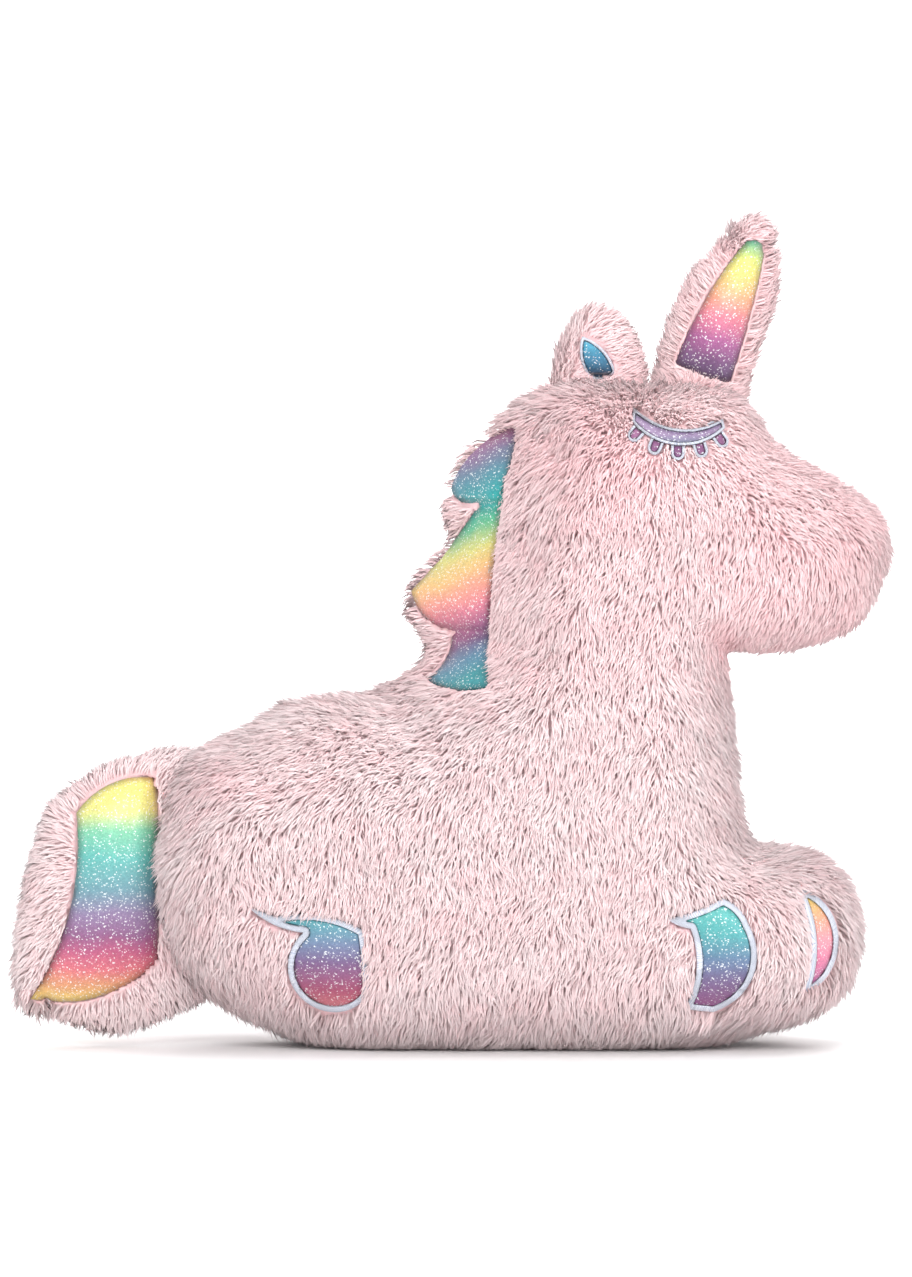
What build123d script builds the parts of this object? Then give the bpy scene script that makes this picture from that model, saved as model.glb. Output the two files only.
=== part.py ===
"""Plush unicorn lying with its forelegs forward: fur fabric panels over stuffing, with glitter
satin inserts in the mane, tail and horn, and stitched satin patches for eyes, ears and hooves.

Millimetres. X runs from the tail to the nose, Y from the toy's right side to its left side, and
Z is up. The origin is the middle of the toy's bounding box, at the height of the belly.
"""
from build123d import *
from math import cos, radians, sin, sqrt
import os

# Finished size over the brushed pile
length = 454.0           # tail tip to nose
height = 427.0           # belly to horn tip
thickness = 160.0        # widest part of the barrel

# Size that the pattern below is drawn at; it is graded from this to the finished size
drawn_length = 454.0
drawn_height = 427.0
drawn_thickness = 160.0

# Fabrics
pile = 13.0              # body fur fabric: backing and brushed pile together
small_pile = 10.0        # fur fabric of the mane, tail, horn and ear
crushed_pile = 3.0       # body fur pressed flat under the belly
satin = 2.0              # glitter satin with its foam backing
edging = 3.0             # height of the satin stitch round a patch
edging_width = 3.0       # width of that stitch on a hoof
fine_edging_width = 1.4  # width of that stitch on the eye and ear
lining = 2.0             # backing fabric between a root pocket and the stuffing
seam_allowance = 1       # clear of the middle seam, on each side
cut_gap = 0.3            # between a patch and the edge of the fur round it

# Soft hinges where the tail, horn and ear are sewn on
swing_gap = 1.5          # room round a root, all the way through its swing
root_relief = 4.0        # how much flatter a root's end is than the round pocket it turns in
tail_root_radius = 25.0
tail_root = (-160.0, 0.0)        # X and Z of a point on its hinge line
horn_root_radius = 20.0
horn_root = (128.0, 346.0)
horn_reach = 26.0        # half the length of its hinge line
horn_lean = 14.7         # degrees forward of upright
ear_root_radius = 17.0
ear_root = (71.0, 346.0)
ear_reach = 29.0         # half the length of its hinge line

# Lashes, hung from the eyelid
lash_count = 5
lash_width = 7.0
lash_length = 8.0

# Thread that closes the stuffing opening
stitch_count = 12
stitch_pitch = 6.0
stitch_length = 9.0
thread_radius = 0.5

# Side outline of the torso over the pile, from the rump up over the back, and for each point the
# place on the flat of the side that it rises to, and how full that slope is (1 round, 0 a wedge):
# (x, z, rise x, rise z, fullness)
TORSO = [
    (-158, 99, -95, 95, 1),
    (-150, 130, -95, 105, 1),
    (-136, 151, -90, 110, 1),
    (-108, 166, -80, 112, 1),
    (-80, 180, -65, 114, 1),
    (-50, 183, -40, 115, 1),
    (-34, 190, 0, 122, 0.8),
    (-23, 205, 58, 190, 0.3),
    (-33, 222, 63, 222, 0.2),
    (-34, 232, 64, 234, 0.2),
    (-19, 248, 66, 248, 0.2),
    (-11, 265, 68, 260, 0.2),
    (-14, 280, 70, 270, 0.2),
    (-8, 298, 72, 281, 0.2),
    (7, 314, 76, 287, 0.3),
    (24, 328, 80, 290, 0.5),
    (42, 338, 84, 291, 0.8),
    (75, 342, 90, 292, 1),
    (110, 342, 102, 290, 1),
    (140, 340, 111, 286, 1),
    (151, 333, 117, 281, 1),
    (162, 316, 124, 275, 1),
    (186, 297, 138, 266, 1),
    (207, 284, 145, 259, 1),
    (221, 271, 149, 254, 1),
    (227, 257, 151, 250, 1),
    (224, 240, 149, 246, 1),
    (214, 219, 145, 242, 1),
    (197, 208, 137, 239, 1),
    (168, 201, 124, 237, 1),
    (148, 201, 112, 233, 1),
    (142, 194, 103, 220, 1),
    (144, 172, 98, 180, 1),
    (147, 146, 98, 140, 1),
    (151, 116, 103, 110, 1),
    (160, 101, 110, 86, 1),
    (177, 98, 125, 71, 1),
    (197, 93, 139, 62, 1),
    (208, 78, 146, 56, 1),
    (211, 56, 148, 51, 1),
    (206, 34, 145, 47, 1),
    (190, 18, 135, 45, 1),
    (160, 7, 120, 44, 1),
    (125, -4, 104, 44, 1),
    (60, -9, 58, 48, 1),
    (0, -9, 0, 50, 1),
    (-60, -6, -50, 56, 1),
    (-96, 6, -76, 65, 1),
    (-125, 21, -88, 74, 1),
    (-145, 42, -94, 82, 1),
    (-155, 68, -96, 89, 1),
]
SIDE_STEPS = (0, 0.3, 0.55, 0.76, 0.91, 1)   # sections of a side, as parts of the half thickness

# Sections along the axis of a form, each (place, low edge, high edge, half thickness)
TAIL = [
    (0, 18, 154, tail_root_radius),
    (12, 10, 152, 27),
    (22, 5, 147, 27),
    (32, 7, 138, 26),
    (42, 12, 123, 24),
    (50, 15, 98, 20),
]
HORN = [
    (0, -horn_reach, horn_reach, horn_root_radius),
    (7, -26, 26, 23),
    (17, -27, 26, 26),
    (30, -25, 27, 27),
    (43, -21, 28, 26),
    (54, -15, 26, 23),
    (61, -12, 24, 21),
    (65, -10, 21, 19),
]
EAR = [
    (0, -28, ear_reach, ear_root_radius),
    (5, -27, 29, 19),
    (11, -25, 29, 21),
    (17, -23, 27, 20),
    (22, -20, 24, 19),
    (26, -17, 20, 17),
]
tail_round, tail_drop = 17, -22      # how far the tail's round end reaches, and drops
horn_round = 19.4
ear_round = 13
UPRIGHT = (Align.CENTER, Align.CENTER, Align.MIN)
END_STEPS = (0.45, 0.75, 0.93, 0.99)     # sections of a rounded end, as parts of its depth


def gx(x):
    return x * length / drawn_length


def gy(y):
    return y * thickness / drawn_thickness


def gz(z):
    return z * height / drawn_height


# Forms --------------------------------------------------------------------------------------

def ring(base, place, low, high, half):
    """One elliptical section of a stuffed form, across the axis of base."""
    centre = Pos((low + high) / 2, 0, place)
    return base * centre * Ellipse((high - low) / 2, half)


def end_rings(base, section, depth, drift):
    """Sections that shrink to close a form with a rounded end, whose middle moves by drift."""
    place, low, high, half = section
    rings = []
    for step in END_STEPS:
        middle = (low + high) / 2 + drift * step
        shrink = sqrt(1 - step * step)
        reach = (high - low) / 2 * shrink
        rings.append(ring(base, place + depth * step, middle - reach, middle + reach, half * shrink))
    return rings


def stuffed_form(base, sections, start_depth, end_depth, inset, end_drift=0):
    """Loft through the sections, all drawn in by inset, and round off both ends."""
    drawn_in = [(s, low + inset, high - inset, half - inset) for s, low, high, half in sections]
    rings = [ring(base, *section) for section in drawn_in]
    start = end_rings(base, drawn_in[0], inset - start_depth, 0)[::-1]
    end = end_rings(base, drawn_in[-1], end_depth - inset, end_drift)
    return loft(start + rings + end)


def graded(sections, along, across):
    return [(along(s), across(low), across(high), gy(half)) for s, low, high, half in sections]


def root_plane(root, lean):
    """Plane whose Z axis leaves the toy at a root and whose X axis is the hinge line."""
    turn = radians(lean)
    away = (sin(turn), 0, cos(turn))
    line = (cos(turn), 0, -sin(turn))
    return Plane(origin=(gx(root[0]), 0, gz(root[1])), x_dir=line, z_dir=away)


HORN_PLANE = root_plane(horn_root, horn_lean)
EAR_PLANE = root_plane(ear_root, 0)
TAIL_PLANE = root_plane(tail_root, -90)


def torso_knots():
    """Place of each outline point along its curve, the same for every section."""
    corners = [Vector(x, z) for x, z, *_ in TORSO]
    knots = [0.0]
    for here, there in zip(corners, corners[1:] + corners[:1]):
        knots.append(knots[-1] + sqrt((there - here).length))
    return knots


def torso_section(step, inset):
    """Outline of the torso at one step of its thickness, drawn in by inset."""
    round_rise = 1 - sqrt(1 - step * step)
    points = []
    for x, z, rise_x, rise_z, fullness in TORSO:
        edge = Vector(gx(x), gz(z))
        crest = Vector(gx(rise_x), gz(rise_z))
        start = edge + (crest - edge).normalized() * inset
        rise = fullness * round_rise + (1 - fullness) * step
        points.append(start + (crest - start) * rise)
    return make_face(Wire([Edge.make_spline(points, periodic=True, parameters=torso_knots())]))


def torso_half(inset, floor):
    """Right half of barrel, neck, head and forelegs in one, cut flat at the floor height."""
    half_thickness = thickness / 2 - inset
    sections = []
    for step in SIDE_STEPS:
        level = Plane.XZ.offset(half_thickness * step)
        sections.append(level * torso_section(step, inset))
    above = Pos(0, 0, floor) * Box(2 * length, 2 * length, 2 * height, align=UPRIGHT)
    return loft(sections) & above


def roll(plane, radius, reach):
    """Round bar along a hinge line, reaching reach to each side."""
    return plane * Rot(0, 90, 0) * Cylinder(gy(radius), 2 * reach)


def tail_form(inset):
    root_depth = gy(tail_root_radius) - root_relief
    sections = graded(TAIL, gx, gz)
    return stuffed_form(TAIL_PLANE, sections, root_depth, gx(tail_round), inset, gz(tail_drop))


def horn_form(inset):
    root_depth = gy(horn_root_radius) - root_relief
    return stuffed_form(HORN_PLANE, graded(HORN, gz, gx), root_depth, gz(horn_round), inset)


def ear_form(inset):
    root_depth = gy(ear_root_radius) - root_relief
    return stuffed_form(EAR_PLANE, graded(EAR, gz, gx), root_depth, gz(ear_round), inset)


def pockets(margin):
    """Round hollows in the torso that take the three roots, wider than them by margin."""
    tail = roll(TAIL_PLANE, tail_root_radius + margin, height)
    horn = roll(HORN_PLANE, horn_root_radius + margin, gx(horn_reach) + margin)
    ear = roll(EAR_PLANE, ear_root_radius + margin, gx(ear_reach) + margin)
    return tail + horn + ear


# Outlines in side view, drawn on the XZ plane ------------------------------------------------

def at(x, z):
    return (gx(x), gz(z))


def closed_face(*edges):
    return make_face(Wire(edges))


def hind_hoof_outline():
    """Round hoof with a flick of hair pointing to the tail."""
    tip, notch = at(-103, 75), at(-75, 62)
    bottom, heel, top, brow = at(-63, 21), at(-42, 32), at(-45, 63), at(-89, 70)
    return closed_face(
        ThreePointArc(tip, at(-90, 66), notch),
        ThreePointArc(notch, at(-83, 42), bottom),
        ThreePointArc(bottom, at(-51, 23), heel),
        ThreePointArc(heel, at(-43, 48), top),
        ThreePointArc(top, at(-62, 70), brow),
        Line(brow, tip),
    )


def fore_hoof_outline():
    """Round hoof, open to the front, with a short flick of hair."""
    tip, notch = at(106, 69), at(118, 64)
    foot, sole, toe, crown = at(115, 23), at(130, 21), at(147, 66), at(134, 79)
    return closed_face(
        ThreePointArc(tip, at(112, 65.5), notch),
        ThreePointArc(notch, at(121, 44), foot),
        Line(foot, sole),
        ThreePointArc(sole, at(150, 42), toe),
        ThreePointArc(toe, at(142, 74), crown),
        ThreePointArc(crown, at(121, 73), tip),
    )


def lead_hoof_outline():
    """Crescent hoof of the leading foreleg."""
    top, foot = at(171, 84), at(174, 28)
    return closed_face(
        ThreePointArc(top, at(194, 56), foot),
        ThreePointArc(foot, at(179, 52), top),
    )


def eyelid_ends():
    return at(90, 325), at(135, 319), at(136, 314), at(89, 317)


def eyelid_lower_edge():
    rear, front = eyelid_ends()[3], eyelid_ends()[2]
    return ThreePointArc(rear, at(113, 305), front)


def eyelid_outline():
    """Closed eye: a crescent that hangs between two corners."""
    rear_top, front_top, front, rear = eyelid_ends()
    return closed_face(
        ThreePointArc(rear_top, at(112, 313.5), front_top),
        Line(front_top, front),
        eyelid_lower_edge(),
        Line(rear, rear_top),
    )


def lash_outlines():
    """Round-ended lashes, evenly spaced under the eyelid and square to it."""
    edge = eyelid_lower_edge()
    lashes = []
    for index in range(lash_count):
        share = (index + 0.5) / lash_count
        root = edge @ share
        slope = edge.tangent_angle_at(share)
        tongue = SlotCenterToCenter(lash_length, lash_width)
        lashes.append(Pos(root.X, root.Y) * Rot(0, 0, slope - 90) * tongue)
    return lashes


def ear_patch_outline():
    """Leaf with its point up."""
    tip, front, rear = at(65, 361), at(82, 343), at(68, 341)
    return closed_face(
        ThreePointArc(tip, at(76, 354), front),
        ThreePointArc(front, at(75, 339), rear),
        ThreePointArc(rear, at(64, 351), tip),
    )


def horn_insert_outline():
    """Long tapered panel, widest at the base."""
    tip_rear, tip_front, base_front, base_rear = at(148, 409), at(158, 406), at(140, 337), at(112, 347)
    return closed_face(
        ThreePointArc(tip_rear, at(154, 409.5), tip_front),
        ThreePointArc(tip_front, at(151, 375), base_front),
        ThreePointArc(base_front, at(126, 341), base_rear),
        ThreePointArc(base_rear, at(127, 379), tip_rear),
    )


def tail_insert_outline():
    """Swept panel: broad at the rump, drawn out to a point at the tail's end."""
    root_top, root_foot, tip, shoulder = at(-147, 136), at(-146, 49), at(-216, 24), at(-192, 119)
    return closed_face(
        Line(root_top, root_foot),
        ThreePointArc(root_foot, at(-176, 27), tip),
        ThreePointArc(tip, at(-196, 66), shoulder),
        ThreePointArc(shoulder, at(-180, 131), root_top),
    )


def mane_insert_outline():
    """Three locks one above another, joined where they meet the neck."""
    crown, brow, upper, lower, foot = at(34, 317), at(0, 294), at(12, 275), at(-1, 211), at(18, 184)
    return closed_face(
        ThreePointArc(crown, at(14, 308), brow),
        ThreePointArc(brow, at(-1, 282), upper),
        ThreePointArc(upper, at(-2, 255), at(-22, 232)),
        ThreePointArc(at(-22, 232), at(-15, 219), lower),
        ThreePointArc(lower, at(-5, 196), at(-15, 187)),
        ThreePointArc(at(-15, 187), at(2, 182), foot),
        ThreePointArc(foot, at(21, 252), crown),
    )


# Cutting pieces from the shells --------------------------------------------------------------

SIDES = {"right": -1, "left": 1}     # side of the toy, and the way Y runs on it
SIDE_NAME = {-1: "right", 1: "left"}


def prism(face, side):
    """Everything behind an outline on one side of the toy, from just off its middle."""
    standing = Plane.XZ * face
    block = extrude(standing, amount=thickness, dir=(0, side, 0))
    return block - Box(2 * length, 2 * seam_allowance, 4 * height)


def half(side):
    """All of space on one side of the seam plane."""
    edge = (Align.CENTER, Align.MIN if side > 0 else Align.MAX, Align.CENTER)
    return Box(2 * length, 2 * length, 4 * height, align=edge)


def widened(face):
    return offset(face, amount=cut_gap, kind=Kind.ARC)


def inner_outline(face, width):
    return offset(face, amount=-width, kind=Kind.ARC)


def solids_of(shape):
    """The closed solids of a result, without leftovers thinner than a thread."""
    kept = [solid for solid in shape.solids() if solid.volume > 1]
    return Compound(children=kept) if len(kept) > 1 else kept[0]


parts = {}


def keep(name, shape):
    parts[name] = solids_of(shape)


def keep_largest(name, shape):
    parts[name] = max(shape.solids(), key=lambda solid: solid.volume)


def edged_patch(name, outline, width, levels, side):
    """A satin patch and the satin stitch round it, both lying on the stuffing."""
    core, satin_level, edging_level = levels
    inside = prism(inner_outline(outline, width), side)
    whole = prism(outline, side)
    keep(name + "_patch_" + SIDE_NAME[side], (satin_level & inside) - core)
    keep(name + "_edging_" + SIDE_NAME[side], (edging_level & (whole - inside)) - core)


def sewn_piece(name, form, insert, patch):
    """Tail, horn or ear: stuffing, fur on both sides, and an insert or a patch on each."""
    outer, core = form(0), form(small_pile)
    satin_level, edging_level = form(small_pile - satin), form(small_pile - edging)
    keep(name + "_stuffing", core)
    for side in SIDES.values():
        outline = insert or patch
        fur = ((outer & half(side)) - core) - prism(widened(outline), side)
        keep(name + "_fur_" + SIDE_NAME[side], fur)
        if insert:
            panel = (satin_level & prism(insert, side)) - core
            keep_largest(name + "_insert_" + SIDE_NAME[side], panel)
        else:
            levels = (core, satin_level, edging_level)
            edged_patch("inner_" + name, patch, fine_edging_width, levels, side)


def closing_stitches():
    """Ladder stitches across the belly seam, under the pile."""
    middle = (stitch_count - 1) / 2
    bars = []
    for index in range(stitch_count):
        place = Pos((index - middle) * stitch_pitch, 0, crushed_pile / 2)
        bars.append(place * Rot(90, 0, 0) * Cylinder(thread_radius, stitch_length))
    return Compound(children=bars)


def lash_set(lashes, eyelid, levels, side):
    """Lashes and their edging, below the eyelid that they hang from."""
    core, satin_level, edging_level = levels
    lid = prism(widened(eyelid), side)
    patches = []
    rims = []
    for lash in lashes:
        inside = prism(inner_outline(lash, fine_edging_width), side)
        patches += (((satin_level & inside) - core) - lid).solids()
        rims += (((edging_level & (prism(lash, side) - inside)) - core) - lid).solids()
    keep("lash_patches_" + SIDE_NAME[side], Compound(children=patches))
    keep("lash_edging_" + SIDE_NAME[side], Compound(children=rims))


# The toy ------------------------------------------------------------------------------------

def body_side(side, thread):
    """Fur panel of one side of the torso, with the inserts and patches let into it."""
    core = body_half(side, pile, crushed_pile, lining)
    satin_level = body_half(side, pile - satin, crushed_pile, lining)
    edging_level = body_half(side, pile - edging, crushed_pile, lining)
    levels = (core, satin_level, edging_level)
    mane, eyelid, lashes = mane_insert_outline(), eyelid_outline(), lash_outlines()
    hooves = {
        "hind_hoof": hind_hoof_outline(),
        "fore_hoof": fore_hoof_outline(),
        "lead_hoof": lead_hoof_outline(),
    }
    fur = (body_half(side, 0, 0, 0) - core) - thread
    for outline in [mane, eyelid, *hooves.values(), *lashes]:
        fur = fur - prism(widened(outline), side)
    keep("body_fur_" + SIDE_NAME[side], fur)
    keep_largest("mane_insert_" + SIDE_NAME[side], (satin_level & prism(mane, side)) - core)
    for name, outline in hooves.items():
        edged_patch(name, outline, edging_width, levels, side)
    edged_patch("eyelid", eyelid, fine_edging_width, levels, side)
    lash_set(lashes, eyelid, levels, side)
    return core


def body_half(side, inset, floor, wall):
    """One side of the torso drawn in by inset, with pockets for the roots wider by wall."""
    right = torso_half(inset, floor)
    whole = right if side < 0 else mirror(right, about=Plane.XZ)
    return whole - pockets(swing_gap + wall)


def main():
    os.makedirs("parts", exist_ok=True)
    thread = closing_stitches()
    keep("closing_stitches", thread)
    keep("body_stuffing", body_side(-1, thread) + body_side(1, thread))
    sewn_piece("tail", tail_form, tail_insert_outline(), None)
    sewn_piece("horn", horn_form, horn_insert_outline(), None)
    sewn_piece("ear", ear_form, None, ear_patch_outline())
    for name, shape in parts.items():
        export_step(shape, "parts/" + name + ".step")
        print(name, round(shape.volume), "mm3")


main()
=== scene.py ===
import math

import bpy
import numpy as np
from bpy.props import FloatProperty, FloatVectorProperty, IntProperty, PointerProperty
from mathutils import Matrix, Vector, kdtree
from mathutils.bvhtree import BVHTree


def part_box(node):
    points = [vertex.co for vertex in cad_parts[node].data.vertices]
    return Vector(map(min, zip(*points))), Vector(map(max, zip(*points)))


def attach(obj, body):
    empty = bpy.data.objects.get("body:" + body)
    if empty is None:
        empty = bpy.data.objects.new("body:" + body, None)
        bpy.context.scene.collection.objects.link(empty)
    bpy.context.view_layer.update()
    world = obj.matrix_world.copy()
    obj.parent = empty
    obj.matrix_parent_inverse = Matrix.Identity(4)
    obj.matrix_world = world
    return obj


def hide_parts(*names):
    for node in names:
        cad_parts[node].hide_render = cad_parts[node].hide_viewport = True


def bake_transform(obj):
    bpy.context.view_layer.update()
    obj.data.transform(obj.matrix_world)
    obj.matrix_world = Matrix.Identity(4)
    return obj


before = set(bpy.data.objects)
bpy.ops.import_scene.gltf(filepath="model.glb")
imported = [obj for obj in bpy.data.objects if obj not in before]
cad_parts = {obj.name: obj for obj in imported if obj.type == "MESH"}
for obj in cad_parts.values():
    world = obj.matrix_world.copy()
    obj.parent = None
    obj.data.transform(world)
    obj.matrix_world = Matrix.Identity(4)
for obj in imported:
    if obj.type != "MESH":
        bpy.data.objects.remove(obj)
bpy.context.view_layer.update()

MM = 0.001
SIDES = {"right": -1, "left": 1}      # side of the toy, and the way Y runs on it
OUTSIDE = 0.2                         # distance from the middle seam that clears either side
TUCK = 2.8 * MM                       # how far a skin lies under the satin

bl_info = {
    "name": "Plush Unicorn",
    "version": (1, 0, 0),
    "blender": (4, 5, 0),
    "location": "View3D > Sidebar > Plush",
    "description": "Sews, stuffs and brushes a fur fabric unicorn round its frame",
    "category": "Object",
}


# Settings -----------------------------------------------------------------------------------

def hex_colour(text):
    """sRGB hex value as linear red, green, blue and alpha."""
    values = [int(text[i:i + 2], 16) / 255 for i in (0, 2, 4)]
    linear = [v / 12.92 if v <= 0.04045 else ((v + 0.055) / 1.055) ** 2.4 for v in values]
    return (*linear, 1.0)


def colour_property(name, description, text):
    return FloatVectorProperty(
        name=name, description=description, subtype="COLOR", size=4, min=0, max=1, default=hex_colour(text))


def size_property(name, description, millimetres):
    return FloatProperty(name=name, description=description, unit="LENGTH", min=0, default=millimetres * MM)


class PlushPile(bpy.types.PropertyGroup):
    """Brushed pile of the fur fabric."""
    length: size_property("Pile length", "How long the pile is on the body", 14)
    short_length: size_property("Face pile length", "How long it is on the muzzle and the mane", 11)
    spacing: size_property("Lock spacing", "Distance from one lock of fibres to the next", 1.35)
    width: size_property("Lock width", "Width of a lock of fibres at its root", 1.3)
    clump: size_property("Clump width", "Width of the tufts that the locks gather into", 7)
    gather: FloatProperty(
        name="Gather", description="How far tips draw together", min=0, max=1, default=0.25)
    lean: FloatProperty(
        name="Lean", description="Lean of the roots", subtype="ANGLE", default=math.radians(38))
    droop: FloatProperty(
        name="Droop", description="Lean of the tips", subtype="ANGLE", default=math.radians(70))
    softness: FloatProperty(
        name="Softness", description="How much the pile catches light as one surface",
        min=0, max=1, default=0.9)
    seed: IntProperty(name="Seed", description="Start of the random draws", default=11)


class PlushStuffing(bpy.types.PropertyGroup):
    """How the skins are blown up by their filling."""
    voxel: size_property("Body mesh", "Mesh spacing of the body skin", 5)
    small_voxel: size_property("Small mesh", "Mesh spacing of the tail, horn and ear skins", 3)
    slack: size_property("Slack", "How much smaller a skin starts than its finished form", 4)
    swell: size_property("Swell", "Furthest that filling pushes a skin out", 5)
    backing: size_property("Backing", "How far the backing fabric lies outside the filling", 2.5)
    pressure: FloatProperty(name="Pressure", description="Push of the filling", min=0, default=4)
    steps: IntProperty(name="Steps", description="Steps of the simulation", min=1, default=20)


class PlushColours(bpy.types.PropertyGroup):
    """Colours of the fabrics and threads."""
    fur_root: colour_property("Fur root", "Pile near the backing", "EED2D3")
    fur_middle: colour_property("Fur middle", "Middle of the pile", "EEDADB")
    fur_tip: colour_property("Fur tip", "Tips of the pile", "EFE0E1")
    blush_root: colour_property("Blush root", "Pinker pile near the backing", "F2BEC3")
    blush_middle: colour_property("Blush middle", "Middle of the pinker pile", "F4C6CA")
    blush_tip: colour_property("Blush tip", "Tips of the pinker pile", "F6CFD2")
    backing: colour_property("Backing", "Knitted backing of the fur fabric", "F4C3C8")
    stitch: colour_property("Satin stitch", "Embroidery thread", "DDE2EC")
    floor: colour_property("Floor", "Floor and backdrop", "FFFFFF")


# Mesh tools ---------------------------------------------------------------------------------

def select_only(piece):
    for other in bpy.context.selected_objects:
        other.select_set(False)
    piece.select_set(True)
    bpy.context.view_layer.objects.active = piece


def copy_of_node(node, name):
    """A free copy of a CAD node with its own merged mesh."""
    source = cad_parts[node]
    piece = bpy.data.objects.new(name, source.data.copy())
    bpy.context.scene.collection.objects.link(piece)
    piece.data.materials.clear()
    select_only(piece)
    bpy.ops.object.mode_set(mode="EDIT")
    bpy.ops.mesh.select_all(action="SELECT")
    bpy.ops.mesh.remove_doubles(threshold=0.02 * MM)
    bpy.ops.object.mode_set(mode="OBJECT")
    return piece


def apply_modifier(piece, kind, **settings):
    select_only(piece)
    modifier = piece.modifiers.new(kind.title(), kind)
    for key, value in settings.items():
        setattr(modifier, key, value)
    bpy.ops.object.modifier_apply(modifier=modifier.name)


def remesh(piece, voxel):
    select_only(piece)
    piece.data.remesh_voxel_size = voxel
    piece.data.remesh_voxel_adaptivity = 0
    bpy.ops.object.voxel_remesh()


def get_points(mesh):
    points = np.empty(len(mesh.vertices) * 3)
    mesh.vertices.foreach_get("co", points)
    return points.reshape(-1, 3)


def get_normals(mesh):
    normals = np.empty(len(mesh.vertices) * 3)
    mesh.vertices.foreach_get("normal", normals)
    return normals.reshape(-1, 3)


def set_points(mesh, points):
    mesh.vertices.foreach_set("co", points.reshape(-1))
    mesh.update()


def unit(vectors):
    return vectors / np.maximum(np.linalg.norm(vectors, axis=1, keepdims=True), 1e-9)


def tree_of_nodes(nodes):
    points, polygons = [], []
    for node in nodes:
        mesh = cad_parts[node].data
        start = len(points)
        points += [tuple(v.co) for v in mesh.vertices]
        polygons += [tuple(start + i for i in p.vertices) for p in mesh.polygons]
    return BVHTree.FromPolygons(points, polygons)


# Edges that the pile is brushed across, as boxes in the side view (low x, low z, high x, high z)
COMBED_OVER = [(-46, 24, -36, 80), (-84, 69, -36, 80), (104, 18, 117, 62), (104, 16, 132, 24.5),
               (166, 26, 176, 88), (31, 290, 41, 316), (25, 262, 34, 290), (22, 235, 30, 262),
               (19, 205, 27, 235), (17, 181, 25, 205)]


def combed_over(points):
    x, z = points[:, 0] / MM, points[:, 2] / MM
    zones = [(x > a) & (x < c) & (z > b) & (z < d) for a, b, c, d in COMBED_OVER]
    return np.any(zones, axis=0)


def over_satin(points, nodes, tree, depth, margin=0.0):
    """Whether each point lies in front of a satin piece on its own side, or less than depth behind it."""
    boxes = np.array([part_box(node) for node in nodes])
    low, high = boxes[:, 0, [0, 2]].min(axis=0), boxes[:, 1, [0, 2]].max(axis=0)
    flat = points[:, [0, 2]]
    inside = np.all((flat > low - 5 * MM) & (flat < high + 5 * MM), axis=1) & ~combed_over(points)
    covered = np.zeros(len(points), dtype=bool)
    offsets = [(0, 0)] if margin == 0 else [(margin, 0), (-margin, 0), (0, margin), (0, -margin)]
    for index in np.flatnonzero(inside):
        x, y, z = points[index]
        side = 1 if y > 0 else -1
        for right, up in offsets:
            start = Vector((x + right, side * OUTSIDE, z + up))
            hit = tree.ray_cast(start, Vector((0, -side, 0)), OUTSIDE)
            if hit[0] is not None and abs(y) > abs(hit[0].y) - depth:
                covered[index] = True
                break
    return covered


def distances(points, tree, reach):
    """Distance of each point from a search tree, reach where it is further."""
    found = np.full(len(points), reach)
    for index, point in enumerate(points):
        near = tree.find_nearest(Vector(point), reach)
        if near[0] is not None:
            found[index] = near[3]
    return found


def wander(points, scale, phase):
    """Smooth random value from -1 to 1 that changes over about scale metres."""
    p = points / scale * 2
    x, y, z = p.T
    waves = np.sin(x * 1.7 + y * 0.9 + phase) + np.sin(z * 1.9 - x * 0.8 + 2 * phase)
    waves += np.sin(y * 1.6 + z * 1.1 + 3 * phase) + np.sin((x + z) * 2.7 + 5 * phase)
    return waves / 4


def finish_mesh(piece, material):
    """Outward normals, smooth shading and one material."""
    select_only(piece)
    bpy.ops.object.mode_set(mode="EDIT")
    bpy.ops.mesh.select_all(action="SELECT")
    bpy.ops.mesh.normals_make_consistent(inside=False)
    bpy.ops.object.mode_set(mode="OBJECT")
    bpy.ops.object.shade_smooth()
    piece.data.materials.clear()
    piece.data.materials.append(material)


# Materials ----------------------------------------------------------------------------------

def new_material(name):
    material = bpy.data.materials.new(name)
    material.use_nodes = True
    tree = material.node_tree
    shader = tree.nodes["Principled BSDF"]
    return material, tree, shader


def add(tree, kind, links=(), values=(), **settings):
    """A node with its settings, its own values, and links from (input, output socket) pairs."""
    node = tree.nodes.new(kind)
    for key, value in settings.items():
        setattr(node, key, value)
    for socket, value in values:
        node.inputs[socket].default_value = value
    for socket, source in links:
        tree.links.new(source, node.inputs[socket])
    return node


def ramp(tree, source, stops, interpolation="LINEAR"):
    """Colours along a value: stops are (place, linear colour)."""
    node = add(tree, "ShaderNodeValToRGB", links=[("Fac", source)])
    node.color_ramp.interpolation = interpolation
    elements = node.color_ramp.elements
    while len(elements) < len(stops):
        elements.new(0.5)
    for element, (place, colour) in zip(elements, stops):
        element.position = place
        element.color = colour
    return node


def set_sockets(shader, values):
    for socket, value in values:
        shader.inputs[socket].default_value = value


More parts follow.
